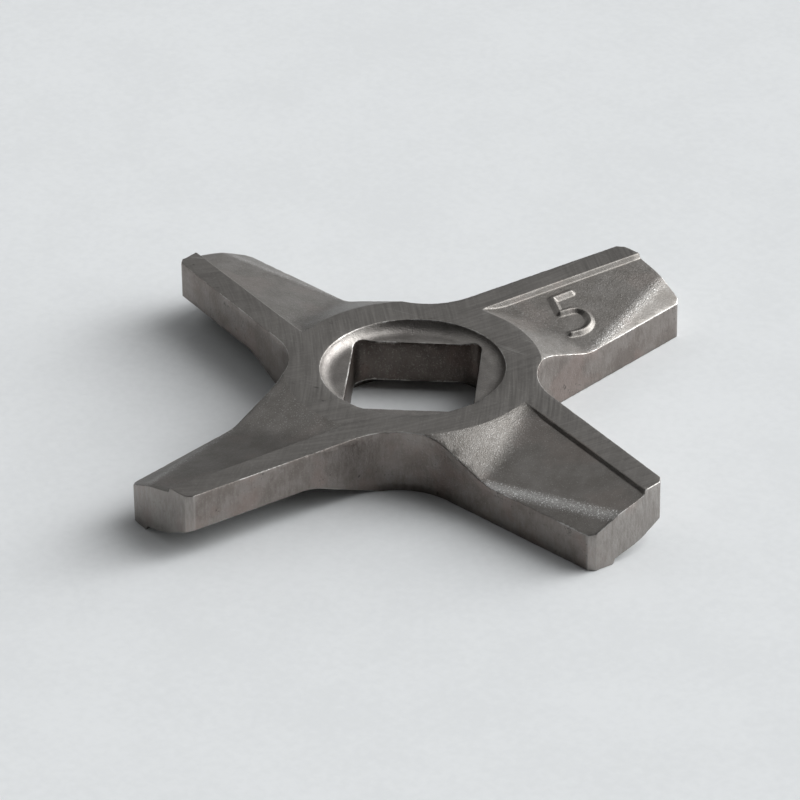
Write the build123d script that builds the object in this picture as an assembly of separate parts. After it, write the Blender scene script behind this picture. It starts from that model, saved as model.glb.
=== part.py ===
from build123d import *
from math import cos, radians, sin, sqrt, tan
import os

# Double-sided four-armed knife of a small meat grinder, one piece of pressed and sintered steel.
# Origin at the centre of the underside, arms along X and Y, +Z up, millimetres.

# Driving sizes of the plan
sweep_dia = 47.0          # circle that the arm tips run on
thickness = 4.9           # from ground face to ground face
arm_tip_width = 6.8       # across the flanks where the corner flats start
flank_angle = 6.4         # each flank opens this much towards the hub, degrees
crotch_radius = 5.3       # hollow between two arms
corner_flat = 0.42        # flat across each tip corner, along the flank and along the tip

# Driving sizes of the hub
hole_side = 9.4           # square drive hole, across flats
hole_corner_radius = 0.9
hole_turn = 45.0          # the corners of the square point into the arms, degrees
dish_dia = 13.5           # round recess about the hole, on both faces
dish_depth = 0.8
dish_cove_radius = 1.1    # hollow wall of the recess
ring_dia = 18.8           # the ground ring ends here, and the ramps of the pockets start

# Driving sizes of one pocket, which falls from the cutting land to the trailing flank
land_width = 1.85         # cutting land at the tip
land_angle = 5.8          # the inner edge of the land opens this much towards the hub, degrees
step_height = 0.38        # from the land down to the pocket
step_slope = 66.0         # steepness of that step, degrees
step_foot_radius = 0.16
land_edge_radius = 0.12   # rubbed edge between the land and the step
trailing_height = 2.85    # from the far face up to the pocket, along the trailing flank
relief_start = 13.4       # distance from the centre at which the relief starts on that flank
relief_slope = 25.0       # steepness of the relief along the trailing flank, degrees
relief_radius = 4.0       # rounding between the pocket floor and the relief
ramp_slope = 24.6         # from the pocket up to the ring, degrees
ramp_foot_radius = 4.0

# Worked-out places
tip_radius = sweep_dia / 2
flank_slope = tan(radians(flank_angle))
half_tip = arm_tip_width / 2
tip_end_y = half_tip - corner_flat
tip_end_x = sqrt(tip_radius ** 2 - tip_end_y ** 2)
flank_end_x = tip_end_x - corner_flat
flank_meet_y = half_tip + flank_slope * flank_end_x     # the line of a flank carried on to the hub's middle
crotch_centre = (crotch_radius / cos(radians(flank_angle)) + flank_meet_y) / (1 + flank_slope)
land_inner_y = half_tip - land_width
land_line = Vector(cos(radians(land_angle)), -sin(radians(land_angle)), 0)
land_side = Vector(-sin(radians(land_angle)), -cos(radians(land_angle)), 0)
step_foot_y = land_inner_y - step_height / tan(radians(step_slope))
step_foot = Vector(flank_end_x, step_foot_y, thickness - step_height)
flank_line = Vector(cos(radians(flank_angle)), sin(radians(flank_angle)), 0)
flank_side = Vector(sin(radians(flank_angle)), -cos(radians(flank_angle)), 0)
relief_start_y = flank_slope * relief_start - flank_meet_y
relief_point = Vector(relief_start, relief_start_y, trailing_height)
reach = 2 * sweep_dia     # long enough for a cutting block to pass right through
over = 1.0                # a cut goes this far past the ground face


def arm_outline():
    """Edges of one arm along +X, with the hollow on its left."""
    touch_x = crotch_centre - crotch_radius * sin(radians(flank_angle))
    touch_y = crotch_centre - crotch_radius * cos(radians(flank_angle))
    bottom = crotch_centre - crotch_radius * cos(radians(45))
    edges = [
        ThreePointArc((tip_end_x, -tip_end_y), (tip_radius, 0), (tip_end_x, tip_end_y)),
        ThreePointArc((touch_x, touch_y), (bottom, bottom), (touch_y, touch_x)),
    ]
    for side in (1, -1):
        edges.append(Line((tip_end_x, side * tip_end_y), (flank_end_x, side * half_tip)))
        edges.append(Line((flank_end_x, side * half_tip), (touch_x, side * touch_y)))
    return edges


def blank():
    """The pressed blank: the star outline with upright flanks."""
    outline = make_face([Rot(0, 0, 90 * i) * edge for i in range(4) for edge in arm_outline()])
    return extrude(outline, thickness)


def leaning(side, slope):
    """Normal of a plane that falls towards a side at a slope in degrees."""
    return side * sin(radians(slope)) + Vector(0, 0, cos(radians(slope)))


def block_on(point, along, normal):
    """A large block that stands on a sloping plane through a point."""
    plane = Plane(origin=point, x_dir=along, z_dir=normal)
    return plane * Box(reach, reach, reach, align=(Align.CENTER, Align.CENTER, Align.MIN))


def pocket_floor():
    """Everything above the pocket floor and the relief, with the rounding between them."""
    floor = block_on(step_foot, land_line, (relief_point - step_foot).cross(land_line))
    relief = block_on(relief_point, flank_line, leaning(flank_side, relief_slope))
    both = floor + relief
    ridge = both.edges().sort_by_distance(relief_point)[0]
    return fillet(ridge, relief_radius)


def ramp_cone():
    """The hub as one steep cone: where it stands above the pocket floor it forms the ramp."""
    top_z = thickness + over
    top_radius = ring_dia / 2 - over / tan(radians(ramp_slope))
    bottom_radius = top_radius + top_z / tan(radians(ramp_slope))
    cone = Cone(bottom_radius, top_radius, top_z, align=(Align.CENTER, Align.CENTER, Align.MIN))
    return Rot(0, 0, 180) * cone


def pocket():
    """What is pressed away on the trailing side of one land, for the arm along +X, upper face."""
    quarter = Rot(0, 0, -45) * Box(
        reach, reach, thickness + over, align=(Align.MIN, Align.MIN, Align.MIN)
    )
    hollow = (pocket_floor() & quarter) - ramp_cone()
    curved = hollow.edges().filter_by(GeomType.LINE, reverse=True)
    ramp_foot = curved.sort_by_distance(relief_point)[:3]   # one each on the floor, the rounding and the relief
    hollow = fillet(ramp_foot, ramp_foot_radius)
    cut = hollow & block_on(step_foot, land_line, leaning(land_side, step_slope))
    return fillet(cut.edges().sort_by_distance(step_foot)[0], step_foot_radius)


def dish():
    """The round recess in the upper face: a flat floor with a hollow wall."""
    rim = dish_dia / 2
    cove_width = sqrt(dish_cove_radius ** 2 - (dish_cove_radius - dish_depth) ** 2)
    floor_edge = rim - cove_width
    floor_z = thickness - dish_depth
    turn = radians(45) * cove_width / dish_cove_radius
    middle = (floor_edge + dish_cove_radius * sin(turn), floor_z + dish_cove_radius * (1 - cos(turn)))
    profile = make_face([
        Line((0, floor_z), (floor_edge, floor_z)),
        ThreePointArc((floor_edge, floor_z), middle, (rim, thickness)),
        Line((rim, thickness), (rim, thickness + over)),
        Line((rim, thickness + over), (0, thickness + over)),
        Line((0, thickness + over), (0, floor_z)),
    ])
    return revolve(Plane.XZ * profile, Axis.Z)


def drive_hole():
    """The square that the end of the feed screw turns the knife by."""
    square = RectangleRounded(hole_side, hole_side, hole_corner_radius)
    return Pos(0, 0, -over) * Rot(0, 0, hole_turn) * extrude(square, thickness + 2 * over)


def lower(cut):
    """The same cut in the underside: the knife turned over about an arm."""
    return Pos(0, 0, thickness) * Rot(180, 0, 0) * cut


def knife():
    """The blank with its eight pockets, two dishes and the drive hole."""
    one_pocket = pocket()
    one_dish = dish()
    body = blank() - drive_hole() - one_dish - lower(one_dish)
    for i in range(4):
        turned = Rot(0, 0, 90 * i) * one_pocket
        body = body - turned - lower(turned)
    land_middle_x = (ring_dia / 2 + flank_end_x) / 2
    land_middle_y = land_inner_y + (flank_end_x - land_middle_x) * tan(radians(land_angle))
    land_edges = []
    for z, side in ((thickness, 1), (0, -1)):
        for i in range(4):
            middle = Vector(land_middle_x, side * land_middle_y, z).rotate(Axis.Z, 90 * i)
            land_edges.append(body.edges().sort_by_distance(middle)[0])
    return fillet(land_edges, land_edge_radius)


os.makedirs("parts", exist_ok=True)
solid = knife().solid()
export_step(solid, "parts/knife.step")
print("knife", round(solid.volume / 1000, 3), "cm3", solid.bounding_box())
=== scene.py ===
from math import atan2, cos, hypot, pi, radians, sin

import bmesh
import bpy
from mathutils import Matrix, Vector, noise
from mathutils.geometry import interpolate_bezier
from mathutils.kdtree import KDTree


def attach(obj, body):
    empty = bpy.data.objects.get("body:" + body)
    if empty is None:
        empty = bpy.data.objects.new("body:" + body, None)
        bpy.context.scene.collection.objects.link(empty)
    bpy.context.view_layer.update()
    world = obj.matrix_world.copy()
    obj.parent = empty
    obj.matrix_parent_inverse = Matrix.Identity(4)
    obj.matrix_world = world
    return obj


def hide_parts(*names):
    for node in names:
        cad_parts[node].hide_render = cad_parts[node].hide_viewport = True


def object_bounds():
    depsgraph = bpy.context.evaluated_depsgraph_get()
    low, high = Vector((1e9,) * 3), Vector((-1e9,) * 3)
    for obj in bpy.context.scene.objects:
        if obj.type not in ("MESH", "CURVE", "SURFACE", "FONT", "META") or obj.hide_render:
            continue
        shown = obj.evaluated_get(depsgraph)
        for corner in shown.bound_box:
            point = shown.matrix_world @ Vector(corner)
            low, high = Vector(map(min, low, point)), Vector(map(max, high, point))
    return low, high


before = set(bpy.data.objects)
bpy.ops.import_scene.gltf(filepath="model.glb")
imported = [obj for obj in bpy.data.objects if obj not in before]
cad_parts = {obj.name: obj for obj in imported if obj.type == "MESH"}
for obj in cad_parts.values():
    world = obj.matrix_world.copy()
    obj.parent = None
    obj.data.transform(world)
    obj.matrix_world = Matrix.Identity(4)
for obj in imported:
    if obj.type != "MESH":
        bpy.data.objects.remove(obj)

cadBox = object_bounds()
scene = bpy.context.scene
mm = 0.001
thickness = cadBox[1][2] - cadBox[0][2]
print("frame loaded, thickness", round(thickness / mm, 3), "mm")


# Camera, floor and light

photoCamera = {
    "azimuth": -39.57,                   # where the camera stands round the knife, degrees
    "elevation": 31.35,
    "roll": -0.77,
    "distance": 392.9,                   # mm from the point aimed at
    "aim": (-3.23, 1.43, 0.0),           # mm
    "lens": 240.74,
}

studio = {
    "floorSize": 20.0,                   # m, so that low views still see only floor
    "floorGap": 0.01,                    # mm under the knife
    "floorPale": (0.775, 0.79, 0.795),
    "floorGrey": (0.740, 0.755, 0.76),
    "lightColour": (0.99, 1.0, 1.01),
    "fromBelow": 0.74,                   # brightness under the horizon
    "softLights": [                      # azimuth, elevation, tightness, brightness
        (20, 8, 30, 0.90), (45, 8, 30, 2.63), (70, 8, 30, 5.83), (95, 8, 30, 4.20), (120, 8, 30, 1.68),
        (45, 26, 30, 1.96), (70, 26, 30, 7.69), (45, 44, 30, 1.16), (70, 44, 30, 2.68), (70, 62, 30, 4.20),
        (150, 40, 12, 0.48), (180, 40, 12, 0.34), (210, 40, 12, 0.60),
        (300, 30, 12, 0.14),
    ],
}


def polar(azimuth, elevation, distance):
    a = radians(azimuth)
    e = radians(elevation)
    return Vector((cos(e) * cos(a), cos(e) * sin(a), sin(e))) * distance


def makeCamera():
    values = photoCamera
    aim = Vector(values["aim"]) * mm
    place = aim + polar(values["azimuth"], values["elevation"], values["distance"] * mm)
    look = (aim - place).normalized()
    right = look.cross(Vector((0, 0, 1))).normalized()
    up = right.cross(look)
    roll = radians(values["roll"])
    tiltedRight = right * cos(roll) + up * sin(roll)
    tiltedUp = up * cos(roll) - right * sin(roll)
    data = bpy.data.cameras.new("photoCamera")
    data.lens = values["lens"]
    data.sensor_width = 36
    data.clip_start = 0.01
    data.clip_end = 20
    camera = bpy.data.objects.new("photoCamera", data)
    turn = Matrix((tiltedRight, tiltedUp, -look)).transposed()
    camera.matrix_world = Matrix.Translation(place) @ turn.to_4x4()
    scene.collection.objects.link(camera)
    scene.camera = camera


def makeStudio():
    values = studio
    bpy.ops.mesh.primitive_plane_add(size=values["floorSize"], location=(0, 0, -values["floorGap"] * mm))
    floor = bpy.context.object
    floor.name = "floor"
    paint = bpy.data.materials.new("paleFloor")
    paint.use_nodes = True
    tree = paint.node_tree
    shader = tree.nodes["Principled BSDF"]
    place = placeInMm(tree)
    blotches = grainNoise(tree, place, 0.09, 5.0, 0.7)
    mottle = sums(tree, "ADD", blotches, sums(tree, "MULTIPLY", grainNoise(tree, place, 1.5, 3.0), 0.6))
    colour = blended(tree, ramped(tree, mottle, 0.6, 1.0), values["floorPale"], values["floorGrey"])
    tree.links.new(colour, shader.inputs["Base Color"])
    shader.inputs["Roughness"].default_value = 0.7
    shader.inputs["Specular IOR Level"].default_value = 0.2
    floor.data.materials.append(paint)

    # one large window low behind the knife and a dim room, as soft patches of the sky
    world = bpy.data.worlds.new("room")
    scene.world = world
    world.use_nodes = True
    tree = world.node_tree
    direction = put(tree, "ShaderNodeTexCoord").outputs["Generated"]
    total = None
    for azimuth, elevation, tightness, brightness in values["softLights"]:
        facing = put(tree, "ShaderNodeVectorMath", {0: direction, 1: polar(azimuth, elevation, 1.0)},
                     operation="DOT_PRODUCT").outputs["Value"]
        patch = sums(tree, "POWER", sums(tree, "MAXIMUM", facing, 0.0), tightness)
        total = sums(tree, "MULTIPLY_ADD", patch, brightness, 0.0 if total is None else total)
    height = put(tree, "ShaderNodeSeparateXYZ", {0: direction}).outputs["Z"]
    below = sums(tree, "LESS_THAN", height, 0.0)
    strength = put(tree, "ShaderNodeMix", {0: below, 2: total, 3: values["fromBelow"]}, data_type="FLOAT")
    back = tree.nodes["Background"]
    back.inputs["Color"].default_value = (*values["lightColour"], 1)
    tree.links.new(strength.outputs[0], back.inputs["Strength"])
    scene.view_settings.view_transform = "Standard"


# Shader node helpers

def newGroup(name, inputs, outputs):
    group = bpy.data.node_groups.new(name, "ShaderNodeTree")
    for label, kind, value in inputs:
        socket = group.interface.new_socket(label, in_out="INPUT", socket_type=kind)
        if value is not None:
            socket.default_value = value
    for label, kind in outputs:
        group.interface.new_socket(label, in_out="OUTPUT", socket_type=kind)
    start = group.nodes.new("NodeGroupInput")
    end = group.nodes.new("NodeGroupOutput")
    return group, start, end


def put(tree, kind, sockets=None, **settings):
    # adds a node; sockets maps an input to a value or to another node's output
    node = tree.nodes.new(kind)
    for key, value in settings.items():
        setattr(node, key, value)
    for key, value in (sockets or {}).items():
        if isinstance(value, bpy.types.NodeSocket):
            tree.links.new(value, node.inputs[key])
        else:
            node.inputs[key].default_value = value
    return node


def sums(tree, operation, a, b=None, c=None, clamp=False):
    values = {index: value for index, value in enumerate((a, b, c)) if value is not None}
    return put(tree, "ShaderNodeMath", values, operation=operation, use_clamp=clamp).outputs[0]


def ramped(tree, value, low, high, toLow=0.0, toHigh=1.0):
    sockets = {"Value": value, "From Min": low, "From Max": high, "To Min": toLow, "To Max": toHigh}
    return put(tree, "ShaderNodeMapRange", sockets, interpolation_type="SMOOTHSTEP").outputs["Result"]


def blended(tree, factor, a, b):
    node = put(tree, "ShaderNodeMix", data_type="RGBA")
    for index, value in ((0, factor), (6, a), (7, b)):
        if isinstance(value, bpy.types.NodeSocket):
            tree.links.new(value, node.inputs[index])
        else:
            node.inputs[index].default_value = (*value, 1) if index > 0 else value
    return node.outputs[2]


def placeInMm(tree):
    place = put(tree, "ShaderNodeTexCoord").outputs["Object"]
    return put(tree, "ShaderNodeVectorMath", {0: place, "Scale": 1000.0}, operation="SCALE").outputs[0]


def grainNoise(tree, vector, scale, detail=3.0, roughness=0.5):
    sockets = {"Vector": vector, "Scale": scale, "Detail": detail, "Roughness": roughness}
    return put(tree, "ShaderNodeTexNoise", sockets).outputs["Fac"]


makeCamera()
makeStudio()
print("camera, floor and light made")


# Effects that more than one finish uses

def makeGrindLines():
    # fine lines that a grinding wheel leaves: they follow circles round a centre that lies far off
    group, start, end = newGroup(
        "grindLines",
        [("Place", "NodeSocketVector", None), ("CentreX", "NodeSocketFloat", 0.0),
         ("CentreY", "NodeSocketFloat", 0.0), ("Fineness", "NodeSocketFloat", 5.0),
         ("Length", "NodeSocketFloat", 0.5)],
        [("Lines", "NodeSocketFloat")],
    )
    split = put(group, "ShaderNodeSeparateXYZ", {0: start.outputs["Place"]})
    x = sums(group, "SUBTRACT", split.outputs[0], start.outputs["CentreX"])
    y = sums(group, "SUBTRACT", split.outputs[1], start.outputs["CentreY"])
    far = sums(group, "SQRT", sums(group, "ADD", sums(group, "MULTIPLY", x, x), sums(group, "MULTIPLY", y, y)))
    turn = sums(group, "MULTIPLY", sums(group, "ARCTAN2", y, x), far)
    across = sums(group, "MULTIPLY", far, start.outputs["Fineness"])
    along = sums(group, "MULTIPLY", turn, start.outputs["Length"])
    place = put(group, "ShaderNodeCombineXYZ", {0: across, 1: along, 2: split.outputs[2]}).outputs[0]
    lines = grainNoise(group, place, 1.0, 4.0, 0.65)
    group.links.new(lines, end.inputs["Lines"])
    return group


def makePressedGrain():
    # speckle, facets and small hollows of a pressed and sintered surface
    group, start, end = newGroup(
        "pressedGrain",
        [("Place", "NodeSocketVector", None), ("Size", "NodeSocketFloat", 5.0)],
        [("Speckle", "NodeSocketFloat"), ("Pits", "NodeSocketFloat"), ("Height", "NodeSocketFloat"),
         ("Clouds", "NodeSocketFloat")],
    )
    place = start.outputs["Place"]
    size = start.outputs["Size"]
    fine = grainNoise(group, place, size, 2.0, 0.6)
    facets = put(group, "ShaderNodeTexVoronoi", {"Vector": place, "Scale": size},
                 feature="SMOOTH_F1").outputs["Distance"]
    coarse = grainNoise(group, place, sums(group, "MULTIPLY", size, 0.3), 3.0, 0.6)
    clouds = grainNoise(group, place, sums(group, "MULTIPLY", size, 0.06), 4.0, 0.6)
    height = sums(group, "ADD", sums(group, "ADD", fine, sums(group, "MULTIPLY", facets, 0.6)), coarse)
    group.links.new(ramped(group, fine, 0.56, 0.70), end.inputs["Speckle"])
    group.links.new(ramped(group, coarse, 0.34, 0.24), end.inputs["Pits"])
    group.links.new(height, end.inputs["Height"])
    group.links.new(ramped(group, clouds, 0.30, 0.70), end.inputs["Clouds"])
    return group


def makeRubbedEdgeAndHighlight():
    # bare bright metal close to an edge, together with a painted highlight along the edge, broken up by noise
    # and missing in stretches
    group, start, end = newGroup(
        "rubbedEdgeAndHighlight",
        [("Place", "NodeSocketVector", None), ("Distance", "NodeSocketFloat", 1.0),
         ("Width", "NodeSocketFloat", 0.1), ("BreakUp", "NodeSocketFloat", 0.5)],
        [("Mask", "NodeSocketFloat")],
    )
    place = start.outputs["Place"]
    dots = sums(group, "SUBTRACT", grainNoise(group, place, 4.0, 3.0, 0.7), 0.5)
    uneven = sums(group, "MULTIPLY", sums(group, "MULTIPLY", dots, 5.0), start.outputs["BreakUp"])
    stretches = ramped(group, grainNoise(group, place, 0.45, 2.0), 0.40, 0.58, 0.35, 1.0)
    width = sums(group, "MULTIPLY", start.outputs["Width"], stretches)
    reach = sums(group, "MULTIPLY", width, sums(group, "ADD", uneven, 1.0))
    share = sums(group, "DIVIDE", start.outputs["Distance"], sums(group, "MAXIMUM", reach, 0.005))
    group.links.new(sums(group, "MULTIPLY", ramped(group, share, 1.0, 0.3), stretches), end.inputs["Mask"])
    return group


def makeFromMiddle():
    # how far a point is from the knife's axis, in mm
    group, start, end = newGroup(
        "fromMiddle",
        [("Place", "NodeSocketVector", None)],
        [("Distance", "NodeSocketFloat")],
    )
    flat = put(group, "ShaderNodeVectorMath", {0: start.outputs["Place"], 1: (1.0, 1.0, 0.0)},
               operation="MULTIPLY").outputs[0]
    far = put(group, "ShaderNodeVectorMath", {0: flat}, operation="LENGTH").outputs["Value"]
    group.links.new(far, end.inputs["Distance"])
    return group


def makeWarmPatches():
    # where the steel has a faint brown stain
    group, start, end = newGroup(
        "warmPatches",
        [("Place", "NodeSocketVector", None), ("Strength", "NodeSocketFloat", 0.5)],
        [("Mask", "NodeSocketFloat")],
    )
    patches = ramped(group, grainNoise(group, start.outputs["Place"], 0.3, 3.0), 0.50, 0.64)
    group.links.new(sums(group, "MULTIPLY", patches, start.outputs["Strength"]), end.inputs["Mask"])
    return group


def makeUprightStreaks():
    # upright smears of the press tool, and the larger clouds behind them
    group, start, end = newGroup(
        "uprightStreaks",
        [("Place", "NodeSocketVector", None), ("Squeeze", "NodeSocketFloat", 0.22)],
        [("Streaks", "NodeSocketFloat"), ("Clouds", "NodeSocketFloat")],
    )
    place = start.outputs["Place"]
    scale = put(group, "ShaderNodeCombineXYZ", {0: 1.0, 1: 1.0, 2: start.outputs["Squeeze"]}).outputs[0]
    upright = put(group, "ShaderNodeVectorMath", {0: place, 1: scale}, operation="MULTIPLY").outputs[0]
    group.links.new(grainNoise(group, upright, 4.5, 5.0, 0.65), end.inputs["Streaks"])
    group.links.new(grainNoise(group, place, 0.45, 4.0, 0.6), end.inputs["Clouds"])
    return group


grindLines = makeGrindLines()
pressedGrain = makePressedGrain()
rubbedEdgeAndHighlight = makeRubbedEdgeAndHighlight()
fromMiddle = makeFromMiddle()
warmPatches = makeWarmPatches()
uprightStreaks = makeUprightStreaks()


def newFinish(name):
    finish = bpy.data.materials.new(name)
    finish.use_nodes = True
    tree = finish.node_tree
    shader = tree.nodes["Principled BSDF"]
    shader.inputs["Metallic"].default_value = 1.0
    return finish, tree, shader, placeInMm(tree)


def attribute(tree, name):
    return put(tree, "ShaderNodeAttribute", attribute_name=name).outputs["Fac"]


def effect(tree, group, **sockets):
    # places a group, with its sockets given by name
    node = put(tree, "ShaderNodeGroup", node_tree=group)
    for key, value in sockets.items():
        socket = node.inputs[key]
        if isinstance(value, bpy.types.NodeSocket):
            tree.links.new(value, socket)
        else:
            socket.default_value = value
    return node


# worn bare metal along the edges, with a painted edge highlight laid in the same colour
def edgeWearAndHighlight(tree, place, values, breakUp):
    near = attribute(tree, "edgeDistance")
    edge = effect(tree, rubbedEdgeAndHighlight, Place=place, Distance=near, Width=values["edgeWidth"], BreakUp=breakUp)
    return edge.outputs["Mask"]


def bumped(tree, height, bump):
    strength, depth = bump
    sockets = {"Height": height, "Strength": strength, "Distance": depth * mm}
    return put(tree, "ShaderNodeBump", sockets).outputs["Normal"]


# Finishes

groundSteel = {
    "dark": (0.150, 0.141, 0.131),
    "light": (0.238, 0.226, 0.211),
    "bare": (0.40, 0.39, 0.37),
    "pit": (0.07, 0.065, 0.06),
    "roughness": (0.40, 0.52),
    "wheel": (-38.0, -46.0, 5.5, 0.16),  # centre X and Y in mm, fineness, length
    "cross": (-60.0, 18.0, 4.0, 0.2),
    "scratches": (25.0, -70.0, 3.0, 0.09),
    "grain": 4.0,
    "edgeWidth": 0.08,                   # mm
    "bump": (0.5, 0.025),                # strength, and depth in mm
}


def grinding(tree, place, values):
    x, y, fineness, length = values
    lines = effect(tree, grindLines, Place=place, CentreX=x, CentreY=y, Fineness=fineness, Length=length)
    return lines.outputs["Lines"]


def makeGroundFinish():
    values = groundSteel
    finish, tree, shader, place = newFinish("groundSteel")
    wheel = grinding(tree, place, values["wheel"])
    cross = grinding(tree, place, values["cross"])
    grain = effect(tree, pressedGrain, Place=place, Size=values["grain"])
    share = ramped(tree, grainNoise(tree, place, 0.12, 2.0), 0.4, 0.6, 0.10, 0.70)
    lines = put(tree, "ShaderNodeMix", {0: share, 2: wheel, 3: cross}, data_type="FLOAT").outputs[0]
    clouds = sums(tree, "MULTIPLY", grain.outputs["Clouds"], 0.25)
    tone = sums(tree, "MULTIPLY_ADD", ramped(tree, lines, 0.33, 0.67), 0.75, clouds)
    colour = blended(tree, tone, values["dark"], values["light"])
    scratch = ramped(tree, grinding(tree, place, values["scratches"]), 0.62, 0.72, 0.0, 0.4)
    colour = blended(tree, scratch, colour, values["bare"])
    colour = blended(tree, sums(tree, "MULTIPLY", grain.outputs["Pits"], 0.6), colour, values["pit"])
    colour = blended(tree, sums(tree, "MULTIPLY", grain.outputs["Speckle"], 0.12), colour, values["bare"])
    # worn bare metal and painted highlight along the edges
    colour = blended(tree, edgeWearAndHighlight(tree, place, values, 0.5), colour, values["bare"])
    tree.links.new(colour, shader.inputs["Base Color"])
    tree.links.new(ramped(tree, lines, 0.3, 0.7, *values["roughness"]), shader.inputs["Roughness"])
    height = sums(tree, "ADD", lines, sums(tree, "MULTIPLY", grain.outputs["Height"], 0.25))
    height = sums(tree, "SUBTRACT", height, scratch)
    tree.links.new(bumped(tree, height, values["bump"]), shader.inputs["Normal"])
    return finish


pressedSteel = {
    "dark": (0.176, 0.164, 0.150),
    "light": (0.226, 0.214, 0.200),
    "warm": (0.226, 0.184, 0.162),
    "bare": (0.55, 0.545, 0.53),
    # worn bright metal of the ridge, also used for a painted highlight
    "ridge": (0.78, 0.775, 0.76),
    "pit": (0.09, 0.08, 0.07),
    "roughness": (0.36, 0.50),
    "warmShare": 0.25,
    "grain": 10.0,
    "edgeWidth": 0.09,                   # mm
    "ridgeWidth": 0.75,                  # mm
    "rampEnds": (14.5, 11.5),            # mm from the middle
    "bump": (0.5, 0.05),
}


def makePressedFinish():
    values = pressedSteel
    finish, tree, shader, place = newFinish("pressedSteel")
    grain = effect(tree, pressedGrain, Place=place, Size=values["grain"])
    colour = blended(tree, grain.outputs["Clouds"], values["dark"], values["light"])
    warm = effect(tree, warmPatches, Place=place, Strength=values["warmShare"]).outputs["Mask"]
    colour = blended(tree, warm, colour, values["warm"])
    colour = blended(tree, sums(tree, "MULTIPLY", grain.outputs["Pits"], 0.5), colour, values["pit"])
    # painted highlight: on top of the speckle grain, the ramp gets a larger share of light speckle colour than
    # the pocket floor, as the sparkle of reflected light
    ramp = ramped(tree, effect(tree, fromMiddle, Place=place).outputs["Distance"], *values["rampEnds"])
    share = sums(tree, "MULTIPLY_ADD", ramp, 0.22, 0.22)
    colour = blended(tree, sums(tree, "MULTIPLY", grain.outputs["Speckle"], share), colour, values["bare"])
    # worn bare metal and painted highlight along the edges
    edge = edgeWearAndHighlight(tree, place, values, 0.6)
    # the ridge between pocket and relief is worn bright, in grains, and also carries a painted highlight of
    # glare, stronger on some arms than on others
    near = ramped(tree, attribute(tree, "ridgeDistance"), values["ridgeWidth"], 0.0)
    grains = sums(tree, "MULTIPLY_ADD", grain.outputs["Speckle"], 1.6, 0.16)
    wearAndGlare = sums(tree, "MULTIPLY", near, attribute(tree, "ridgeWearAndGlare"))
    ridge = sums(tree, "MULTIPLY", wearAndGlare, grains, clamp=True)
    colour = blended(tree, edge, colour, values["bare"])
    colour = blended(tree, ridge, colour, values["ridge"])
    tree.links.new(colour, shader.inputs["Base Color"])
    roughness = ramped(tree, grain.outputs["Height"], 0.9, 1.8, *values["roughness"])
    tree.links.new(roughness, shader.inputs["Roughness"])
    # the floor's relief is lower than the ridge's
    rough = sums(tree, "MAXIMUM", sums(tree, "MULTIPLY", ramp, 0.25), near)
    relief = sums(tree, "MULTIPLY_ADD", rough, 0.6, 0.4)
    height = sums(tree, "MULTIPLY", grain.outputs["Height"], relief)
    tree.links.new(bumped(tree, height, values["bump"]), shader.inputs["Normal"])
    return finish


dieSteel = {
    "dark": (0.214, 0.187, 0.170),
    "light": (0.308, 0.281, 0.262),
    "warm": (0.302, 0.240, 0.217),
    "bare": (0.48, 0.465, 0.445),
    "stain": (0.085, 0.075, 0.07),
    "warmShare": 0.5,
    "roughness": (0.34, 0.50),
    "squeeze": 0.22,                     # how much longer than wide the smears are, as a share
    "grain": 7.0,
    "tipStart": 22.9,                    # mm from the middle; the tips are painted lighter than the flanks, as a lit tip face looks
    "tipPaintedLight": 0.34,
    "edgeWidth": 0.08,                   # mm
    "bump": (0.35, 0.05),
}


def makeDieFinish(name, values):
    # flanks, tips and hole walls: smeared upright by the press tool, with stains
    finish, tree, shader, place = newFinish(name)
    smears = effect(tree, uprightStreaks, Place=place, Squeeze=values["squeeze"])
    streaks = smears.outputs["Streaks"]
    clouds = smears.outputs["Clouds"]
    grain = effect(tree, pressedGrain, Place=place, Size=values["grain"])
    tone = sums(tree, "ADD", sums(tree, "MULTIPLY", streaks, 0.4), sums(tree, "MULTIPLY", clouds, 0.6))
    colour = blended(tree, ramped(tree, tone, 0.38, 0.62), values["dark"], values["light"])
    warm = effect(tree, warmPatches, Place=place, Strength=values["warmShare"]).outputs["Mask"]
    colour = blended(tree, warm, colour, values["warm"])
    inGrain = ramped(tree, grain.outputs["Height"], 1.2, 1.6)
    stain = sums(tree, "MULTIPLY", ramped(tree, clouds, 0.58, 0.70), inGrain)
    stain = sums(tree, "MAXIMUM", stain, sums(tree, "MULTIPLY", grain.outputs["Pits"], 0.7))
    colour = blended(tree, stain, colour, values["stain"])
    far = effect(tree, fromMiddle, Place=place).outputs["Distance"]
    # painted light: the tip faces are lightened towards bare metal, as a lit tip looks
    paintedTipLight = ramped(tree, far, values["tipStart"], values["tipStart"] + 0.2, 0.0, values["tipPaintedLight"])
    paintedTipLight = sums(tree, "MULTIPLY", paintedTipLight, ramped(tree, streaks, 0.38, 0.62, 0.75, 1.25))
    light = sums(tree, "MAXIMUM", paintedTipLight, sums(tree, "MULTIPLY", grain.outputs["Speckle"], 0.18))
    colour = blended(tree, light, colour, values["bare"])
    # worn bare metal and painted highlight along the edges
    colour = blended(tree, edgeWearAndHighlight(tree, place, values, 0.6), colour, values["bare"])
    tree.links.new(colour, shader.inputs["Base Color"])
    tree.links.new(ramped(tree, streaks, 0.3, 0.7, *values["roughness"]), shader.inputs["Roughness"])
    height = sums(tree, "ADD", sums(tree, "MULTIPLY", streaks, 0.8), grain.outputs["Height"])
    tree.links.new(bumped(tree, height, values["bump"]), shader.inputs["Normal"])
    return finish


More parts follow.
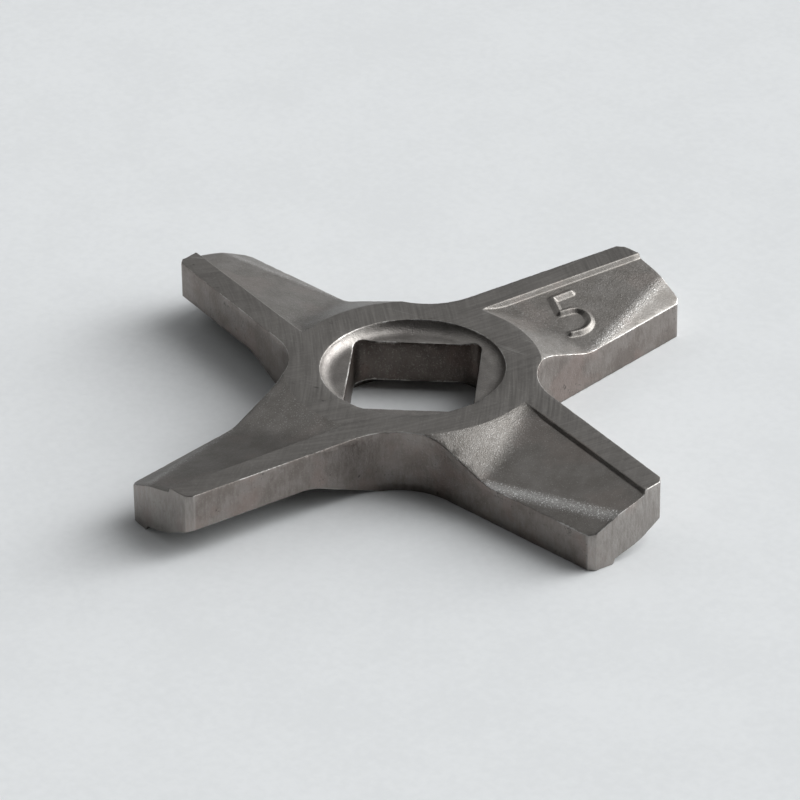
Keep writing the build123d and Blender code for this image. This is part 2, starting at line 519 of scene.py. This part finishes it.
# painted shade: the hole walls are coloured much darker than the flanks, for the shade inside the hole; their
# edges get a wider, brighter line of worn burr and painted highlight
shadedHoleSteel = {
    **dieSteel,
    "dark": (0.115, 0.098, 0.088),
    "light": (0.165, 0.143, 0.128),
    "warm": (0.17, 0.125, 0.11),
    "bare": (0.66, 0.64, 0.61),
    "stain": (0.06, 0.05, 0.045),
    "edgeWidth": 0.17,                   # mm
}

dishSteel = {
    "dark": (0.190, 0.176, 0.165),
    "light": (0.270, 0.255, 0.238),
    "bare": (0.50, 0.49, 0.47),
    "roughness": (0.36, 0.50),
    "grain": 9.0,
    "edgeWidth": 0.12,                   # mm
    "bump": (0.35, 0.05),
}


def makeDishFinish():
    values = dishSteel
    finish, tree, shader, place = newFinish("dishSteel")
    grain = effect(tree, pressedGrain, Place=place, Size=values["grain"])
    colour = blended(tree, grain.outputs["Clouds"], values["dark"], values["light"])
    colour = blended(tree, sums(tree, "MULTIPLY", grain.outputs["Speckle"], 0.25), colour, values["bare"])
    # worn bare metal and painted highlight along the edges
    colour = blended(tree, edgeWearAndHighlight(tree, place, values, 0.7), colour, values["bare"])
    tree.links.new(colour, shader.inputs["Base Color"])
    roughness = ramped(tree, grain.outputs["Height"], 0.9, 1.8, *values["roughness"])
    tree.links.new(roughness, shader.inputs["Roughness"])
    tree.links.new(bumped(tree, grain.outputs["Height"], values["bump"]), shader.inputs["Normal"])
    return finish


finishes = [makeGroundFinish(), makePressedFinish(), makeDieFinish("dieSteel", dieSteel), makeDishFinish(),
            makeDieFinish("shadedHoleSteel", shadedHoleSteel)]
groundIndex, pressedIndex, dieIndex, dishIndex, holeIndex = range(5)
print("finishes made")


# The knife

knifeValues = {
    "levelNormal": 0.9995,               # a face that points up or down at least this much is level
    "uprightNormal": 0.04,               # and one that does so at most this much is upright
    "faceDepth": 0.02,                   # mm, how far from the top or bottom a ground face may lie
    "dishRadius": 6.8,                   # mm
    "holeRadius": 6.4,                   # mm, holds the whole square hole
    "edgeAngle": 32.0,                   # steeper edges than this are worn a little round
    "edgeRound": 0.05,                   # mm
    "holeEdgeRound": 0.07,               # mm, the burr of the hole is flattened wider
    "wornAngle": 50.0,                   # steeper edges than this are rubbed bright and nicked
    "edgeSpacing": 0.08,                 # mm, between the points kept along those
    "edgeZone": 0.13,                    # mm round them that gets the finer mesh
    "nickDepth": 0.04,                   # mm, small dents along the worn edges
    "nickLength": 0.7,                   # mm
    "nickGap": 0.1,                      # a larger share leaves fewer nicks
    "nickZone": 0.1,                     # mm round the worn edges
    "shortestEdge": 0.004,               # mm, slivers narrower than this are closed up
    "longestEdge": 0.9,                  # mm, between points of the finished mesh
    "edgeStep": 0.35,                    # mm, and along the worn edges
    "sharpAngle": 24.0,                  # the shading breaks at steeper edges
    "waveHeight": 0.012,                 # mm, unevenness of the surfaces that aren't ground
    "waveLength": 2.4,                   # mm
    "crispDepth": 0.45,                  # mm under the ground faces that stay even
    "ridgeStart": (13.4, -4.4, 2.85),    # mm, on the arm along +X
    "ridgeEnd": (23.4, -1.26, 3.90),
    "ridgeWearAndGlare": (2.6, 0.6, 0.4, 0.5),   # worn metal and painted glare on the ridge, from the arm along +X round to the one along -Y
    "ridgeFade": 0.03,                   # how much less for each mm outwards
    "farthest": 3.0,                     # mm, larger distances are kept as this
}

numeral = {                              # mm on the arm along +Y, as seenFromArm gives them
    "straight": [(16.30, 1.17), (14.61, 1.31), (14.09, -0.10)],
    "bowl": [(14.09, -0.10), (14.59, -0.20), (15.18, -0.34), (15.56, -0.59), (15.73, -1.08), (15.64, -1.66),
             (15.36, -2.07), (14.86, -2.34), (14.25, -2.41), (13.72, -2.32), (13.31, -2.22)],
    "halfWidth": 0.41,                   # mm
    "height": 0.27,                      # mm
    "margin": 0.15,                      # mm of finer mesh round the strokes
    "longestEdge": 0.10,                 # mm
    "pointsPerSpan": 5,                  # along the bowl
}


def armOf(point):
    # 0 is the arm along +X, and 3 the one along -Y
    return round(atan2(point.y, point.x) / (pi / 2)) % 4


def seenFromArm(point):
    # a point in mm as seen from its own arm, upper face up: x outwards, y to the cutting side
    turn = -armOf(point) * pi / 2
    x = (point.x * cos(turn) - point.y * sin(turn)) / mm
    y = (point.x * sin(turn) + point.y * cos(turn)) / mm
    z = point.z / mm
    if z <= thickness / mm / 2:
        y = -y
        z = thickness / mm - z
    return Vector((x, y, z))


def faceKind(face, values):
    middle = face.calc_center_median()
    depth = min(middle.z, thickness - middle.z) / mm
    fromCentre = hypot(middle.x, middle.y) / mm
    upDown = abs(face.normal.z)
    if upDown > values["levelNormal"] and depth < values["faceDepth"]:
        return groundIndex
    if upDown < values["uprightNormal"]:
        return holeIndex if fromCentre < values["holeRadius"] else dieIndex
    if fromCentre < values["dishRadius"]:
        return dishIndex
    return pressedIndex


def makeFiner(bm, longest, inside, rounds=12):
    # halves the edges that are too long, until none is left or the rounds are over
    for turn in range(rounds):
        edges = [e for e in bm.edges if e.calc_length() > longest and inside(e)]
        if not edges:
            return
        bmesh.ops.subdivide_edges(bm, edges=edges, cuts=1, use_single_edge=True)
        wide = [f for f in bm.faces if len(f.verts) > 3]
        bmesh.ops.triangulate(bm, faces=wide, quad_method="SHORT_EDGE")


def segmentDistance(point, a, b):
    along = b - a
    share = max(0.0, min(1.0, (point - a).dot(along) / along.length_squared))
    return (point - a - along * share).length


def numeralLine():
    values = numeral
    points = [Vector((*p, 0)) for p in values["straight"]]
    knots = [Vector((*p, 0)) for p in values["bowl"]]
    for i in range(len(knots) - 1):
        before = knots[max(i - 1, 0)]
        after = knots[min(i + 2, len(knots) - 1)]
        firstHandle = knots[i] + (knots[i + 1] - before) / 6
        lastHandle = knots[i + 1] - (after - knots[i]) / 6
        count = values["pointsPerSpan"]
        points += interpolate_bezier(knots[i], firstHandle, lastHandle, knots[i + 1], count)[1:]
    return points


def raiseNumeral(bm):
    values = numeral
    line = numeralLine()
    reach = values["halfWidth"] + values["margin"]
    box = [(min(p[i] for p in line) - reach, max(p[i] for p in line) + reach) for i in (0, 1)]

    def lineDistance(point):
        if point.z < thickness / 2 or point.y < abs(point.x):
            return None
        seen = seenFromArm(point)
        if not (box[0][0] < seen.x < box[0][1] and box[1][0] < seen.y < box[1][1]):
            return None
        seen.z = 0
        return min(segmentDistance(seen, line[i], line[i + 1]) for i in range(len(line) - 1))

    def inside(edge):
        middle = (edge.verts[0].co + edge.verts[1].co) / 2
        away = lineDistance(middle)
        return away is not None and away < reach + edge.calc_length() / mm / 2

    makeFiner(bm, values["longestEdge"] * mm, inside)
    bm.normal_update()
    moves = []
    for vert in bm.verts:
        away = lineDistance(vert.co)
        if away is not None and away < values["halfWidth"]:
            lift = values["height"] * (0.5 + 0.5 * cos(pi * away / values["halfWidth"]))
            moves.append((vert, vert.normal * lift * mm))
    for vert, move in moves:
        vert.co += move


def isUpright(edge):
    run = edge.verts[1].co - edge.verts[0].co
    return abs(run.z) > 0.9 * run.length


def edgePoints(edges, spacing):
    points = []
    for edge in edges:
        a, b = edge.verts[0].co, edge.verts[1].co
        steps = max(1, int(edge.calc_length() / spacing))
        points += [a.lerp(b, i / steps) for i in range(steps + 1)]
    return points


def roundEdges(bm, edges, width):
    bmesh.ops.bevel(bm, geom=edges, offset=width, offset_type="OFFSET", segments=2, profile=0.5,
                    affect="EDGES", clamp_overlap=False, material=-1, loop_slide=True)


def closeSlivers(bm, width):
    bmesh.ops.dissolve_degenerate(bm, dist=width, edges=bm.edges)
    bmesh.ops.triangulate(bm, faces=bm.faces)


def dropTwins(bm):
    # closing slivers can leave two faces back to back, which stand out from the surface as a fin
    bm.verts.index_update()
    kept = {}
    twins = []
    for face in bm.faces:
        corners = frozenset(vert.index for vert in face.verts)
        if corners in kept:
            twins += [face, kept[corners]]
        kept[corners] = face
    bmesh.ops.delete(bm, geom=twins, context="FACES_ONLY")
    loose = [e for e in bm.edges if e.is_wire]
    bmesh.ops.delete(bm, geom=loose, context="EDGES")


def makeKnife():
    values = knifeValues
    bm = bmesh.new()
    bm.from_mesh(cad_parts["knife"].data)
    bmesh.ops.remove_doubles(bm, verts=bm.verts, dist=0.0001 * mm)
    for face in bm.faces:
        face.material_index = faceKind(face, values)
        face.smooth = True
    sharp = [e for e in bm.edges if e.calc_face_angle(0) > radians(values["edgeAngle"])]
    worn = [e for e in sharp if e.calc_face_angle(0) > radians(values["wornAngle"]) and not isUpright(e)]
    points = edgePoints(worn, values["edgeSpacing"] * mm)
    tree = KDTree(len(points))
    for index, point in enumerate(points):
        tree.insert(point, index)
    tree.balance()
    holeEdges = [e for e in worn if max(v.co.xy.length for v in e.verts) < values["dishRadius"] * mm
                 and any(f.material_index == holeIndex for f in e.link_faces)]
    holeSet = set(holeEdges)
    roundEdges(bm, [e for e in sharp if e not in holeSet], values["edgeRound"] * mm)
    roundEdges(bm, [e for e in holeEdges if e.is_valid], values["holeEdgeRound"] * mm)
    closeSlivers(bm, values["shortestEdge"] * mm)
    zone = values["edgeZone"] * mm
    makeFiner(bm, values["longestEdge"] * mm, lambda edge: True)
    makeFiner(bm, values["edgeStep"] * mm, lambda edge: all(tree.find(v.co)[2] < zone for v in edge.verts))
    raiseNumeral(bm)

    edgeLayer = bm.verts.layers.float.new("edgeDistance")
    ridgeLayer = bm.verts.layers.float.new("ridgeDistance")
    wearAndGlareLayer = bm.verts.layers.float.new("ridgeWearAndGlare")
    ridgeStart = Vector(values["ridgeStart"])
    ridgeEnd = Vector(values["ridgeEnd"])
    bm.normal_update()
    moves = []
    for vert in bm.verts:
        fromEdge = tree.find(vert.co)[2] / mm
        nick = noise.fractal(vert.co / mm / values["nickLength"], 1.0, 2.0, 2) - values["nickGap"]
        if fromEdge < values["nickZone"] and nick > 0:
            moves.append((vert, vert.normal * (-nick * values["nickDepth"] * mm)))
        seen = seenFromArm(vert.co)
        outwards = max(0.0, seen.x - ridgeStart.x)
        vert[edgeLayer] = min(fromEdge, values["farthest"])
        vert[ridgeLayer] = min(segmentDistance(seen, ridgeStart, ridgeEnd), values["farthest"])
        # wear and painted glare on the ridge, with a different strength for each arm
        vert[wearAndGlareLayer] = values["ridgeWearAndGlare"][armOf(vert.co)] * (1 - values["ridgeFade"] * outwards)
        if all(f.material_index != groundIndex for f in vert.link_faces):
            depth = min(seen.z, thickness / mm - seen.z)
            calm = max(0.0, min(1.0, (depth - values["crispDepth"]) / values["crispDepth"], fromEdge))
            wave = noise.fractal(vert.co / mm / values["waveLength"], 1.0, 2.0, 3)
            moves.append((vert, vert.normal * (wave * values["waveHeight"] * calm * mm)))
    for vert, move in moves:
        vert.co += move
    closeSlivers(bm, values["shortestEdge"] * mm)
    dropTwins(bm)
    # a corner of the bevel may stand proud of the ground faces
    for vert in bm.verts:
        vert.co.z = max(0.0, min(thickness, vert.co.z))
    print("knife mesh", len(bm.verts), "points", len(bm.faces), "faces")

    mesh = bpy.data.meshes.new("knifeBody")
    bm.to_mesh(mesh)
    bm.free()
    for finish in finishes:
        mesh.materials.append(finish)
    mesh.set_sharp_from_angle(angle=radians(values["sharpAngle"]))
    knife = bpy.data.objects.new("knifeBody", mesh)
    scene.collection.objects.link(knife)
    return knife


knife = makeKnife()
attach(knife, "root")
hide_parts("knife")
print("knife made")
